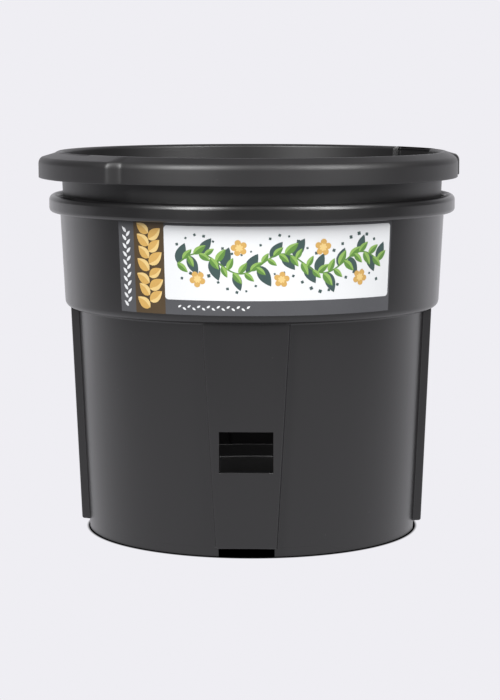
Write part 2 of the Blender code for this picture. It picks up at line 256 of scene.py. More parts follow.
def moulding(name, rings, bottom_height, top_height, windows=(), notches=()):
    """A closed moulding from its rings. Windows, with eased edges, and notches are left open in it.

    A window is (lowest, highest outside row, lowest, highest inside row, first, last column, wall).
    A notch is (inside row, outside row, first column, last column).
    """
    mesh = bmesh.new()
    rows = [[mesh.verts.new(point) for point in ring] for ring in rings]
    count = len(rows[0])
    openings = [((low, high), (first, last)) for low, high, _, _, first, last, _ in windows]
    openings += [((high, low), (first, last)) for _, _, low, high, first, last, _ in windows]
    openings += [((inside, outside), (first, last)) for inside, outside, first, last in notches]
    gone = {
        (row, column % count)
        for levels, columns in openings
        for row in range(*levels)
        for column in range(*columns)
    }
    for row, (low, high) in enumerate(zip(rows, rows[1:])):
        for i in range(count):
            if (row, i) not in gone:
                after = (i + 1) % count
                mesh.faces.new((low[i], low[after], high[after], high[i]))
    under = mesh.verts.new((0.0, 0.0, bottom_height))
    over = mesh.verts.new((0.0, 0.0, top_height))
    for i in range(count):
        after = (i + 1) % count
        mesh.faces.new((under, rows[0][after], rows[0][i]))
        mesh.faces.new((over, rows[-1][i], rows[-1][after]))
    for low, high, inner_low, inner_high, first, last, wall in windows:
        outline = [(low, column) for column in range(first, last)]
        outline += [(row, last) for row in range(low, high)]
        outline += [(high, column) for column in range(last, first, -1)]
        outline += [(row, first) for row in range(high, low, -1)]
        outside = [rows[row][column % count] for row, column in outline]
        inside = [rows[inner_low - (row - low)][column % count] for row, column in outline]
        centre = sum((v.co for v in outside), Vector()) / len(outside)
        turns = [math.radians(turn) for turn in (30.0, 60.0, 90.0)]
        steps = [(lip_rounding * (1 - math.cos(t)), lip_rounding * math.sin(t)) for t in turns]
        steps += [(wall - depth, reach) for depth, reach in reversed(steps)]
        bands = [outside]
        for depth, reach in steps:
            band = []
            for i, (near, far) in enumerate(zip(outside, inside)):
                along = outside[(i + 1) % len(outside)].co - outside[i - 1].co
                inwards = along.cross(far.co - near.co).normalized()
                if inwards.dot(centre - near.co) < 0:
                    inwards.negate()
                band.append(mesh.verts.new(near.co.lerp(far.co, depth / wall) + inwards * reach))
            bands.append(band)
        bands.append(inside)
        for near, far in zip(bands, bands[1:]):
            bridge(mesh, near, far)
    for inside, outside, first, last in notches:
        for column in range(first, last):
            here, after = column % count, (column + 1) % count
            near, far = rows[inside], rows[outside]
            mesh.faces.new((near[here], near[after], far[after], far[here]))
        for column in (first % count, last % count):
            low, high = inside, outside
            while high - low > 1:
                loop = [rows[row][column] for row in (low, low + 1, high - 1, high)]
                mesh.faces.new(list(dict.fromkeys(loop)))
                low, high = low + 1, high - 1
    return finished(name, mesh)


def finished(name, mesh):
    """A bmesh made an object, its faces pointing out."""
    bmesh.ops.recalc_face_normals(mesh, faces=mesh.faces)
    data = bpy.data.meshes.new(name)
    mesh.to_mesh(data)
    mesh.free()
    data.shade_smooth()
    piece = bpy.data.objects.new(name, data)
    bpy.context.scene.collection.objects.link(piece)
    return piece


def settled(piece):
    """The piece with its modifiers' result as its own plain mesh."""
    bpy.context.view_layer.update()
    graph = bpy.context.evaluated_depsgraph_get()
    result = bpy.data.meshes.new_from_object(piece.evaluated_get(graph), depsgraph=graph)
    piece.modifiers.clear()
    piece.data = result
    return piece


def shader(tree, kind, sockets=(), **settings):
    """A node with its settings, and its sockets set to a value or joined to another node's output."""
    made = tree.nodes.new(kind)
    for name, value in settings.items():
        setattr(made, name, value)
    for key, value in dict(sockets).items():
        if isinstance(value, bpy.types.NodeSocket):
            tree.links.new(value, made.inputs[key])
        else:
            made.inputs[key].default_value = value
    return made


def drill_holes(piece, count, circle, radius, first_angle, low, high):
    """Cuts a ring of drain holes with eased edges through a floor. Geometry Nodes set out the drills."""
    past = 1.0 * MM
    profile = [
        (radius + drain_ease + past, low - past),
        (radius, low + drain_ease),
        (radius, high - drain_ease),
        (radius + drain_ease + past, high + past),
    ]
    mesh = bmesh.new()
    angles = spread(0.0, 360.0, 32)[:-1]
    rows = [[mesh.verts.new(on_circle(r, angle, z)) for angle in angles] for r, z in profile]
    for lower, upper in zip(rows, rows[1:]):
        bridge(mesh, lower, upper)
    mesh.faces.new(rows[0])
    mesh.faces.new(rows[-1])
    drills = finished(f"{piece.name}_drills", mesh)

    tree = bpy.data.node_groups.new(f"{piece.name}_drain_holes", "GeometryNodeTree")
    tree.interface.new_socket(name="Geometry", in_out="INPUT", socket_type="NodeSocketGeometry")
    sizes = {
        "Holes": ("NodeSocketInt", count),
        "Circle": ("NodeSocketFloat", circle),
        "First angle": ("NodeSocketFloat", math.radians(first_angle)),
    }
    for label, (kind, value) in sizes.items():
        tree.interface.new_socket(name=label, in_out="INPUT", socket_type=kind)
    tree.interface.new_socket(name="Geometry", in_out="OUTPUT", socket_type="NodeSocketGeometry")
    given = tree.nodes.new("NodeGroupInput").outputs
    circle_sizes = {"Vertices": given["Holes"], "Radius": given["Circle"]}
    ring = shader(tree, "GeometryNodeMeshCircle", circle_sizes)
    turn = shader(tree, "ShaderNodeCombineXYZ", {"Z": given["First angle"]})
    turning = {"Geometry": ring.outputs[0], "Rotation": turn.outputs[0]}
    turned = shader(tree, "GeometryNodeTransform", turning)
    copies = shader(
        tree,
        "GeometryNodeInstanceOnPoints",
        {"Points": turned.outputs[0], "Instance": given["Geometry"]},
    )
    solid = shader(tree, "GeometryNodeRealizeInstances", {"Geometry": copies.outputs[0]})
    shader(tree, "NodeGroupOutput", {"Geometry": solid.outputs[0]})
    pattern = drills.modifiers.new("ring", "NODES")
    pattern.node_group = tree
    for socket in tree.interface.items_tree:
        if socket.name in sizes and socket.in_out == "INPUT":
            pattern[socket.identifier] = sizes[socket.name][1]
    settled(drills)
    cut = piece.modifiers.new("drain_holes", "BOOLEAN")
    cut.operation = "DIFFERENCE"
    cut.object = drills
    even = piece.modifiers.new("even_shading", "WEIGHTED_NORMAL")
    even.keep_sharp = True
    settled(piece)
    bpy.data.objects.remove(drills, do_unlink=True)


def noise(tree, place, scale, **more):
    return shader(tree, "ShaderNodeTexNoise", {"Vector": place, "Scale": scale, **more}).outputs[0]


def ramp(tree, value, start, stop, low, high, **settings):
    """Goes from low to high while the value goes from start to stop."""
    sizes = {"Value": value, "From Min": start, "From Max": stop, "To Min": low, "To Max": high}
    return shader(tree, "ShaderNodeMapRange", sizes, **settings).outputs[0]


def blended(tree, share, first, second):
    colours = {0: share, 6: first, 7: second}
    return shader(tree, "ShaderNodeMix", colours, data_type="RGBA").outputs[2]


def bump(tree, height, strength, distance, **more):
    sizes = {"Height": height, "Strength": strength, "Distance": distance, **more}
    return shader(tree, "ShaderNodeBump", sizes).outputs[0]


def moulded_plastic(name, dark, light, roughness):
    """Satin polypropylene: fine grain, slow flow marks, gloss that varies a little, specks of dust."""
    material = bpy.data.materials.new(name)
    material.use_nodes = True
    tree = material.node_tree
    surface = tree.nodes["Principled BSDF"]
    place = shader(tree, "ShaderNodeTexCoord").outputs["Object"]
    stretched = shader(tree, "ShaderNodeMapping", {"Vector": place, "Scale": (9.0, 9.0, 1.6)}).outputs[0]
    flow = noise(tree, stretched, 1.6, Detail=5.0, Roughness=0.62)
    specks = shader(tree, "ShaderNodeTexVoronoi", {"Vector": place, "Scale": 130.0})
    speck = ramp(tree, specks.outputs["Distance"], start=0.03, stop=0.07, low=0.3, high=0.0)
    cell = shader(tree, "ShaderNodeSeparateColor", {"Color": specks.outputs["Color"]}).outputs[0]
    rare = shader(tree, "ShaderNodeMath", {0: cell, 1: 0.94}, operation="GREATER_THAN").outputs[0]
    dust = shader(tree, "ShaderNodeMath", {0: speck, 1: rare}, operation="MULTIPLY").outputs[0]
    tint = blended(tree, flow, (*dark, 1.0), (*light, 1.0))
    dusty = blended(tree, dust, tint, (0.13, 0.125, 0.12, 1.0))
    tree.links.new(dusty, surface.inputs["Base Color"])
    gloss = ramp(tree, flow, start=0.3, stop=0.7, low=roughness - 0.03, high=roughness + 0.04)
    tree.links.new(gloss, surface.inputs["Roughness"])
    grain = noise(tree, place, 2600.0, Detail=2.0)
    peel = noise(tree, place, 210.0, Detail=3.0)
    fine = bump(tree, grain, strength=0.10, distance=0.08 * MM)
    peeled = bump(tree, peel, strength=0.10, distance=0.2 * MM, Normal=fine)
    tree.links.new(peeled, surface.inputs["Normal"])
    surface.inputs["IOR"].default_value = 1.55
    return material


window_rows = spread(window_sill - lip_rounding, window_top + lip_rounding, 6)
window_borders = (window_rows[0], window_rows[-1])
skirt_rows = [notch_top, 5.5 * MM, 3.2 * MM, 1.6 * MM]
foot_middle = (body_radius(0.0) - outer_wall / 2, 0.0)
skirt_inside = rounded_line(
    [
        (floor_edge, outer_floor_under),
        (body_radius(outer_floor_under) - outer_wall, outer_floor_under, 1.0 * MM),
        (body_radius(0.0) - outer_wall, 0.0, foot_rounding),
        foot_middle,
    ],
    step=30.0,
)
outside = rounded_line(
    [
        foot_middle,
        (body_radius(0.0), 0.0, foot_edge_rounding),
        (body_radius(ledge), ledge, ledge_fillet),
        (collar_radius(ledge), ledge, collar_corner),
        (collar_radius(rim_bottom), rim_bottom),
    ]
)
rim_joins = collar_radius(rim_bottom)
rim_lining = (rim_joins - outer_wall, rim_bottom - outer_wall)
rim_skin = rounded_line(
    [
        (rim_radius - rim_lip_reach, rim_bottom),
        (rim_radius, rim_bottom, rim_edge_rounding),
        (rim_radius, rim_top, rim_shoulder_rounding),
        (rim_radius - rim_crown_width, rim_top, rim_crown_rounding),
        (rim_joins - rim_mouth_recess, rim_bottom + rim_mouth_rise, rim_mouth_fillet),
        rim_lining,
    ],
    step=12.0,
)[:-1]
rim_hollow = offset(rim_skin, outer_wall)
rim_lip = [
    (rim_hollow[0][0] - rim_lip_easing, rim_hollow[0][1] - rim_lip_easing),
    (rim_skin[0][0] - rim_lip_easing, rim_skin[0][1] + rim_lip_easing),
]
lining = rounded_line(
    [
        rim_lining,
        (collar_radius(ledge) - outer_wall, ledge + outer_wall, collar_corner - outer_wall),
        (body_radius(ledge) - outer_wall, ledge + outer_wall, ledge_fillet + outer_wall),
        (body_radius(outer_floor_top) - outer_wall, outer_floor_top, outer_floor_fillet),
        (floor_edge, outer_floor_top),
    ],
    step=20.0,
)

outer_rings = [outer_ring(outer_floor_under, radius) for radius in floor_rings]
for radius, height in with_rows(skirt_inside, skirt_rows):
    if at_row(height, [notch_top]):
        notch_inside = len(outer_rings)
    outer_rings.append(outer_ring(height, radius))
window_rows_outside = []
for radius, height in with_rows(outside, skirt_rows + [panel_foot] + window_rows)[1:]:
    if at_row(height, [notch_top]):
        notch_outside = len(outer_rings)
    if at_row(height, window_borders):
        window_rows_outside.append(len(outer_rings))
    beside_panels = panel_foot + 1e-6 < height < collar_foot - 1e-6
    outer_rings.append(outer_ring(height, radius, panelled=beside_panels))
    if at_row(height, [panel_foot]):
        for turn in spread(0.0, 90.0, 5):
            turn = math.radians(turn)
            rise = panel_foot + panel_foot_rounding * (1 - math.cos(turn))
            back = panel_foot_rounding * (1 - math.sin(turn))
            outer_rings.append(outer_ring(rise, body_radius(rise), 0.0, back, True))
for radius, height in rim_hollow[::-1] + rim_lip + rim_skin:
    outer_rings.append(outer_ring(height, radius))
window_rows_inside = []
for radius, height in with_rows(lining, window_rows):
    if at_row(height, window_borders):
        window_rows_inside.append(len(outer_rings))
    beside_panels = height < collar_foot - 1e-6 and radius > floor_edge + 1.0 * MM
    outer_rings.append(outer_ring(height, radius, outer_wall, panelled=beside_panels))
outer_rings += [outer_ring(outer_floor_top, radius) for radius in reversed(floor_rings)]

quarter_columns = len(outer_rings[0]) // 4
panel_middle = len(half_panel(panel_foot, 0.0, 0.0)) - 1
first_column = panel_middle - border_columns
last_column = panel_middle + border_columns
notches = [
    (notch_inside, notch_outside, first_column + quarter_columns * i, last_column + quarter_columns * i)
    for i in range(4)
]
for inside_row, outside_row, first, last in notches:
    for row in range(inside_row, outside_row + 1):
        for column, side in ((first, -1.0), (last, 1.0)):
            x, y, z = outer_rings[row][column]
            short = min(max(notch_foot_rounding - z, 0.0), notch_foot_rounding)
            flare = notch_foot_rounding - math.sqrt(notch_foot_rounding**2 - short**2)
            turn = Matrix.Rotation(side * flare / base_radius, 3, "Z")
            outer_rings[row][column] = tuple(turn @ Vector((x, y, z)))

outer_pot = moulding(
    "outer_pot_moulding",
    outer_rings,
    outer_floor_under,
    outer_floor_top,
    windows=[(*window_rows_outside, *window_rows_inside[::-1], first_column, last_column, outer_wall)],
    notches=notches,
)
drill_holes(
    outer_pot, count=4, circle=drain_circle, radius=drain_radius, first_angle=45.0,
    low=outer_floor_under, high=outer_floor_top,
)
anthracite = moulded_plastic(
    "anthracite_plastic", (0.0036, 0.0034, 0.0036), (0.0054, 0.0051, 0.0054), roughness=0.32
)
outer_pot.data.materials.append(anthracite)
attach(outer_pot, "outer")
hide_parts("outer_pot")


# The inner pot is one injection moulding in the same plastic, 2.2 mm thick. It has a domed rim, a
# plain band, a step and a body with four large windows between four pillars. Two stretches of the
# rim bulge out as handles, each with a finger pocket pressed into its inside.
inner_low, inner_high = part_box("inner_pot")

inner_wall = 2.2 * MM
body_play = 1.3 * MM
band_play = 1.1 * MM
inner_foot = inner_low.z
inner_floor_under = 34.6 * MM
inner_floor_top = 36.8 * MM
inner_floor_fillet = 2.0 * MM
step = 267.6 * MM
step_rounding = 2.2 * MM

inner_sill = 50.0 * MM - lip_rounding
inner_lintel = 243.0 * MM + lip_rounding
window_middle = 45.0
inner_window_half_span = 33.7
inner_window_corner = 7.5 * MM

dome_radius = 189.2 * MM
dome_top = inner_high.z
dome_edge = dome_top - 7.6 * MM
crest_height = dome_top - 0.7 * MM
skirt_bottom = dome_top - 24.9 * MM
crest_radius = 177.4 * MM
lip_radius = 173.7 * MM
lip_height = dome_top - 3.1 * MM
skirt_edge = 0.7 * MM
band_top = skirt_bottom + 1.0 * MM

handle_angle = 118.8
handle_span = 44.6
handle_shift = 2.6
handle_blend = 3.8
handle_bulge = 7.4 * MM
handle_shoulder = 8.5 * MM
pocket_span = 21.2
pocket_blend = 0.8
pocket_depth = 7.0 * MM
pocket_edge = 6.0 * MM
pocket_floor = skirt_bottom + 3.2 * MM
pocket_floor_fillet = 1.4 * MM

# Degrees from a handle's middle between which the mesh is fine, for a handle's two ends. The
# mesh is fine from before_pocket_end to the window's border too, for the pocket's end.
before_pocket_end = 9.9
before_handle_end = 17.6
past_handle_end = 27.2


def inner_body_radius(height):
    return body_radius(height) - outer_wall - body_play


def band_radius(height):
    return collar_radius(height) - outer_wall - band_play


def handle_share(off_middle, span, blend):
    """1 inside the handle and 0 outside it, with a smooth slope at its ends."""
    return 1.0 - smooth((abs(off_middle) - span / 2) / blend + 0.5)


window_border = window_middle - inner_window_half_span
window_corner_span = math.degrees(inner_window_corner / inner_body_radius(inner_sill))
quarter = [0.0]
for stop, parts in (
    (before_pocket_end, 7),
    (window_border, 8),
    (window_border + window_corner_span, 5),
    (before_handle_end, 3),
    (past_handle_end, 22),
    (90.0 - window_border - window_corner_span, 38),
    (90.0 - window_border, 5),
    (90.0, 9),
):
    quarter += spread(quarter[-1], stop, parts)[1:]
inner_columns = [-angle for angle in reversed(quarter[1:])] + quarter[:-1]


def eased_corner(off_middle, height):
    """A point on a window's border, moved on to the arc of the window's nearest corner."""
    round_wall = inner_body_radius(height)
    off_window = abs(off_middle) - window_middle
    along = math.radians(inner_window_half_span - abs(off_window)) * round_wall
    up = min(height - inner_sill, inner_lintel - height)
    size = inner_window_corner
    on_border = (abs(along) < 1e-6 and up > -1e-6) or (abs(up) < 1e-6 and along > -1e-6)
    if not on_border or max(along, up) > size - 1e-6:
        return off_middle, height
    turn = math.radians(45.0 + 45.0 * along / size if up < along else 45.0 - 45.0 * up / size)
    along, up = size * (1 - math.cos(turn)), size * (1 - math.sin(turn))
    off_window = math.copysign(inner_window_half_span - math.degrees(along / round_wall), off_window)
    low = height - inner_sill < inner_lintel - height
    level = inner_sill + up if low else inner_lintel - up
    return math.copysign(window_middle + off_window, off_middle), level


def inner_ring(height, radius, bulge=0.0, pocket=0.0):
    """One ring of points, with shares of the handles' bulge and of the pockets' depth."""
    ring = []
    for handle in (handle_angle, handle_angle + 180.0):
        for off_middle in inner_columns:
            share = handle_share(off_middle - handle_shift, handle_span, handle_blend)
            hollow = handle_share(off_middle, pocket_span, pocket_blend)
            angle, level = eased_corner(off_middle, height)
            reach = radius + body_draft * (level - height)
            reach += bulge * handle_bulge * share + pocket * pocket_depth * hollow
            ring.append(on_circle(reach, handle + angle, level))
    return ring


def handle_shares(radius, height, floor):
    """How far a point of the rim's skin follows the handle: (bulge, pocket)."""
    out = smooth((radius - crest_radius) / handle_shoulder)
    inside = 1.0 - smooth((radius - lip_radius) / pocket_edge)
    return out, inside * smooth((height - floor) / pocket_floor_fillet)


skin = rounded_line(
    [
        (dome_radius, skirt_bottom + skirt_edge),
        (dome_radius, dome_edge, 7.0 * MM),
        (crest_radius, crest_height, 3.6 * MM),
        (lip_radius, lip_height, 2.4 * MM),
        (band_radius(skirt_bottom) - inner_wall, band_top),
    ],
    step=9.0,
)
pocket_rows = spread(pocket_floor, pocket_floor + pocket_floor_fillet, 5)
skin = with_rows(skin, pocket_rows)
hollow_line = offset(skin, inner_wall)
lip_thickness = inner_wall / 2
window_stops = spread(inner_sill, inner_sill + inner_window_corner, 5)
window_stops += spread(inner_lintel - inner_window_corner, inner_lintel, 5)
foot_line = rounded_line(
    [
        (floor_edge, inner_floor_under),
        (inner_body_radius(inner_floor_under) - inner_wall, inner_floor_under, 1.2 * MM),
        (inner_body_radius(inner_foot) - inner_wall, inner_foot, foot_rounding),
        (inner_body_radius(inner_foot), inner_foot, foot_rounding),
        (inner_body_radius(step), step, step_rounding),
        (band_radius(step), step, step_rounding),
        (band_radius(skirt_bottom), skirt_bottom),
    ],
    step=18.0,
)
inside_line = rounded_line(
    [
        (band_radius(skirt_bottom) - inner_wall, band_top),
        (band_radius(step) - inner_wall, step + inner_wall, step_rounding),
        (inner_body_radius(step) - inner_wall, step + inner_wall, step_rounding),
        (inner_body_radius(inner_floor_top) - inner_wall, inner_floor_top, inner_floor_fillet),
        (floor_edge, inner_floor_top),
    ],
    step=18.0,
)

inner_rings = [inner_ring(inner_floor_under, radius) for radius in floor_rings]
inner_window_rows = []
for radius, height in with_rows(foot_line, window_stops):
    if at_row(height, [inner_sill, inner_lintel]):
        inner_window_rows.append(len(inner_rings))
    inner_rings.append(inner_ring(height, radius))
for (radius, height), (skin_radius, _) in reversed(list(zip(hollow_line, skin))):
    if height < skirt_bottom + 0.5 * MM and radius < band_radius(skirt_bottom) + 1.0 * MM:
        continue
    bulge, pocket = handle_shares(skin_radius, height, pocket_floor - inner_wall)
    inner_rings.append(inner_ring(height, radius, bulge, pocket))
for turn in spread(180.0, 360.0, 6):
    radius = dome_radius - lip_thickness + lip_thickness * math.cos(math.radians(turn))
    height = skirt_bottom + skirt_edge + skirt_edge * math.sin(math.radians(turn))
    inner_rings.append(inner_ring(height, radius, bulge=1.0))
for radius, height in skin[1:-1]:
    inner_rings.append(inner_ring(height, radius, *handle_shares(radius, height, pocket_floor)))
for radius, height in with_rows(inside_line, window_stops):
    if at_row(height, [inner_sill, inner_lintel]):
        inner_window_rows.append(len(inner_rings))
    inner_rings.append(inner_ring(height, radius))
inner_rings += [inner_ring(inner_floor_top, radius) for radius in reversed(floor_rings)]

low_outside, high_outside, high_inside, low_inside = inner_window_rows
borders = [
    (inner_columns.index(window_border - 90.0), inner_columns.index(-window_border)),
    (inner_columns.index(window_border), inner_columns.index(90.0 - window_border)),
]
half_turn = len(inner_columns)
inner_window_levels = (low_outside, high_outside, low_inside, high_inside)
inner_windows = [
    (*inner_window_levels, first + half_turn * i, last + half_turn * i, inner_wall)
    for first, last in borders
    for i in range(2)
]
inner_pot = moulding(
    "inner_pot_moulding", inner_rings, inner_floor_under, inner_floor_top, windows=inner_windows
)
drill_holes(
    inner_pot, count=6, circle=drain_circle, radius=drain_radius, first_angle=0.0,
    low=inner_floor_under, high=inner_floor_top,
)
black = moulded_plastic(
    "black_plastic", (0.0044, 0.0041, 0.0044), (0.0062, 0.0058, 0.0062), roughness=0.47
)
inner_pot.data.materials.append(black)
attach(inner_pot, "inner")
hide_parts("inner_pot")


# The label is a printed film stuck round the front of the outer pot's collar: a slate ground with a
# white panel, a golden strip and a slate band, and a garland of leaves and blossoms over them.
# The film is 0.25 mm thick. The colours are layers of ink, up to 0.15 mm proud of the film.
label_low, label_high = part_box("label")

film_inside = 0.05 * MM
film_outside = 0.30 * MM
ink = 0.03 * MM
label_left = -117.8 * MM
label_right = 135.9 * MM
strip_left = -101.0 * MM
panel_left = -71.0 * MM
panel_right = 134.0 * MM
panel_low = label_low.z + 12.9 * MM
panel_high = label_high.z - 1.8 * MM
film_rounding = 0.8 * MM
strip_rounding = 0.2 * MM
panel_rounding = 3.0 * MM
motif_thickness = 0.05 * MM


def on_collar(along, height, proud):
    """A point on the collar, a length along its foot from the middle of the front."""
    return on_circle(collar_radius(height) + proud, math.degrees(along / collar_foot_radius), height)


def film_patch(name, left, right, low, high, rounding, inside, outside, material):
    """A thin plate bent round the collar, closed all round, with rounded corners."""
    turns = spread(0, math.pi / 2, 6)
    edge = [(rounding * (1 - math.cos(t)), rounding * (1 - math.sin(t))) for t in turns]
    columns = [(left + reach, rise) for reach, rise in edge]
    columns += [(along, 0.0) for along in spread(left + rounding, right - rounding, 60)[1:-1]]
    columns += [(right - reach, rise) for reach, rise in reversed(edge)]
    mesh = bmesh.new()
    loops = []
    for along, rise in columns:
        foot, head = low + rise, high - rise
        border = [(foot, inside), (head, inside), (head, outside), (foot, outside)]
        loops.append([mesh.verts.new(on_collar(along, height, proud)) for height, proud in border])
    for near, far in zip(loops, loops[1:]):
        bridge(mesh, near, far)
    mesh.faces.new(loops[0])
    mesh.faces.new(loops[-1])
    return inked(finished(name, mesh), material)


def inked(piece, material):
    """A piece of the label, with its ink, on the outer pot's body."""
    piece.data.set_sharp_from_angle(angle=math.radians(35.0))
    piece.data.materials.clear()
    piece.data.materials.append(material)
    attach(piece, "outer")
    return piece


def printed_ink(name, colour, shade):
    """Glossy ink on film: a fine print grain, slow density changes and a film that isn't quite flat."""
    material = bpy.data.materials.new(name)
    material.use_nodes = True
    tree = material.node_tree
    surface = tree.nodes["Principled BSDF"]
    place = shader(tree, "ShaderNodeTexCoord").outputs["Object"]
    slow = noise(tree, place, 45.0, Detail=3.0)
    dots = shader(tree, "ShaderNodeTexVoronoi", {"Vector": place, "Scale": 1500.0}).outputs["Distance"]
    density = shader(tree, "ShaderNodeMath", {0: slow, 1: dots}, operation="MULTIPLY").outputs[0]
    tint = blended(tree, density, (*colour, 1.0), (*shade, 1.0))
    tree.links.new(tint, surface.inputs["Base Color"])
    gloss = ramp(tree, slow, start=0.0, stop=1.0, low=0.30, high=0.42)
    tree.links.new(gloss, surface.inputs["Roughness"])
    wave = noise(tree, place, 26.0, Detail=1.0)
    uneven = bump(tree, wave, strength=0.25, distance=0.4 * MM)
    tree.links.new(uneven, surface.inputs["Normal"])
    return material


def motif(name, outline, rings):
    """A small flat figure on its own ground, as a closed prism whose top can bend round the collar."""
    mesh = bmesh.new()
    centre = sum((Vector(point) for point in outline), Vector((0.0, 0.0))) / len(outline)
    under = [mesh.verts.new((x, y, 0.0)) for x, y in outline]
    mesh.faces.new(under)
    near = under
    for share in spread(1.0, 0.0, rings)[:-1]:
        ring = [centre.lerp(Vector(point), share) for point in outline]
        far = [mesh.verts.new((*point, motif_thickness)) for point in ring]
        bridge(mesh, near, far)
        near = far
    middle = mesh.verts.new((*centre, motif_thickness))
    for here, after in zip(near, near[1:] + near[:1]):
        mesh.faces.new((here, after, middle))
    return finished(name, mesh)


def leaf_outline(length, width, low=-1.0, high=1.0, points=9):
    """A pointed oval from the origin. Only its upper half with low at 0, its lower with high at 0."""
    sides = []
    for side in (low, high):
        side_points = []
        for i in range(points + 1):
            t = i / points
            side_points.append((length * t, side * width / 2 * math.sin(math.pi * t**0.8) ** 0.85))
        sides.append(side_points)
    lower, upper = sides
    if not low:
        lower = [lower[0], lower[-1]]
    if not high:
        upper = [upper[0], upper[-1]]
    return lower + upper[-2:0:-1]


def petal_outline(radius, petals):
    points = []
    for i in range(petals * 8):
        turn = 2 * math.pi * i / (petals * 8)
        reach = radius * (0.62 + 0.38 * abs(math.sin(petals * turn / 2)) ** 0.7)
        points.append((reach * math.cos(turn), reach * math.sin(turn)))
    return points


def garland_tree():
    """Sets copies of a motif along a wavy run, bends them round the collar and gives them their ink."""
    tree = bpy.data.node_groups.new("garland", "GeometryNodeTree")
    inputs = [("Geometry", "NodeSocketGeometry"), ("Count", "NodeSocketInt")]
    inputs.append(("Ink", "NodeSocketMaterial"))
    inputs += [(label, "NodeSocketFloat") for label in garland_sizes]
    for label, kind in inputs:
        tree.interface.new_socket(name=label, in_out="INPUT", socket_type=kind)
    tree.interface.new_socket(name="Geometry", in_out="OUTPUT", socket_type="NodeSocketGeometry")
    given = tree.nodes.new("NodeGroupInput").outputs

    def maths(operation, *values):
        return shader(tree, "ShaderNodeMath", dict(enumerate(values)), operation=operation).outputs[0]

    end = shader(tree, "ShaderNodeCombineXYZ", {"X": given["Length"], "Y": given["Rise"]}).outputs[0]
    line = shader(
        tree, "GeometryNodeMeshLine", {"Count": given["Count"], "Offset": end}, mode="END_POINTS"
    ).outputs[0]
    index = shader(tree, "GeometryNodeInputIndex").outputs[0]
    last = maths("MAXIMUM", maths("SUBTRACT", given["Count"], 1.0), 1.0)
    share = maths("DIVIDE", index, last)
    turns = maths("MULTIPLY", maths("MULTIPLY", share, given["Waves"]), 2 * math.pi)
    alternate = maths("SUBTRACT", 1.0, maths("MULTIPLY", maths("MODULO", index, 2.0), 2.0))
    sway = maths("SINE", maths("ADD", turns, given["Phase"]))
    sideways = maths("MULTIPLY", sway, given["Wave height"])
    sideways = maths("ADD", sideways, maths("MULTIPLY", alternate, given["Beside"]))
    heading = maths("ARCTAN2", given["Rise"], given["Length"])
    across = maths("MULTIPLY", maths("MULTIPLY", maths("SINE", heading), sideways), -1.0)
    upward = maths("MULTIPLY", maths("COSINE", heading), sideways)
    shift = shader(tree, "ShaderNodeCombineXYZ", {"X": across, "Y": upward}).outputs[0]
    waved = shader(tree, "GeometryNodeSetPosition", {"Geometry": line, "Offset": shift}).outputs[0]
    turning = shader(tree, "FunctionNodeRandomValue", {"Seed": 7}, data_type="FLOAT")
    tree.links.new(maths("MULTIPLY", given["Turn"], -1.0), turning.inputs[2])
    tree.links.new(given["Turn"], turning.inputs[3])
    growing = shader(tree, "FunctionNodeRandomValue", {"Seed": 19}, data_type="FLOAT")
    tree.links.new(maths("SUBTRACT", 1.0, given["Vary"]), growing.inputs[2])
    tree.links.new(maths("ADD", 1.0, given["Vary"]), growing.inputs[3])
    leaning = maths("ADD", heading, maths("MULTIPLY", alternate, given["Lean"]))
    leaning = maths("ADD", leaning, turning.outputs[1])
    attitude = shader(tree, "ShaderNodeCombineXYZ", {"Z": leaning}).outputs[0]
    size = shader(
        tree, "ShaderNodeCombineXYZ", {"X": growing.outputs[1], "Y": growing.outputs[1], "Z": 1.0}
    ).outputs[0]
    copies = shader(
        tree,
        "GeometryNodeInstanceOnPoints",
        {"Points": waved, "Instance": given["Geometry"], "Rotation": attitude, "Scale": size},
    ).outputs[0]
    flat = shader(tree, "GeometryNodeRealizeInstances", {"Geometry": copies}).outputs[0]
    place = shader(
        tree, "ShaderNodeSeparateXYZ", {"Vector": shader(tree, "GeometryNodeInputPosition").outputs[0]}
    ).outputs
    angle = maths("DIVIDE", maths("ADD", place[0], given["Along"]), collar_foot_radius)
    height = maths("ADD", place[1], given["Up"])
    slope = maths("MULTIPLY", maths("SUBTRACT", height, collar_foot), collar_draft)
    radius = maths("ADD", slope, collar_foot_radius)
    radius = maths("ADD", radius, maths("ADD", place[2], given["Proud"]))
    bent = shader(
        tree,
        "ShaderNodeCombineXYZ",
        {
            "X": maths("MULTIPLY", radius, maths("SINE", angle)),
            "Y": maths("MULTIPLY", maths("MULTIPLY", radius, maths("COSINE", angle)), -1.0),
            "Z": height,
        },
    ).outputs[0]
    wrapped = shader(tree, "GeometryNodeSetPosition", {"Geometry": flat, "Position": bent}).outputs[0]
    printed = shader(tree, "GeometryNodeSetMaterial", {"Geometry": wrapped, "Material": given["Ink"]})
    shader(tree, "NodeGroupOutput", {"Geometry": printed.outputs[0]})
    return tree


garland_sizes = {
    "Length": 0.0, "Rise": 0.0, "Wave height": 0.0, "Waves": 0.0, "Phase": 0.0, "Beside": 0.0,
    "Lean": 0.0, "Vary": 0.0, "Turn": 0.0, "Along": 0.0, "Up": 0.0, "Proud": 0.0,
}
garland = garland_tree()


def print_motifs(name, outline, ink_colour, count, rings=1, **sizes):
    """Prints copies of one motif on the label. The sizes are the garland's inputs, by name."""
    piece = motif(name, outline, rings)
    pattern = piece.modifiers.new("garland", "NODES")
    pattern.node_group = garland
    values = {**garland_sizes, **{key.replace("_", " "): value for key, value in sizes.items()}}
    values |= {"Count": count, "Ink": ink_colour}
    for socket in garland.interface.items_tree:
        if socket.in_out == "INPUT" and socket.name in values:
            pattern[socket.identifier] = values[socket.name]
    return inked(settled(piece), ink_colour)


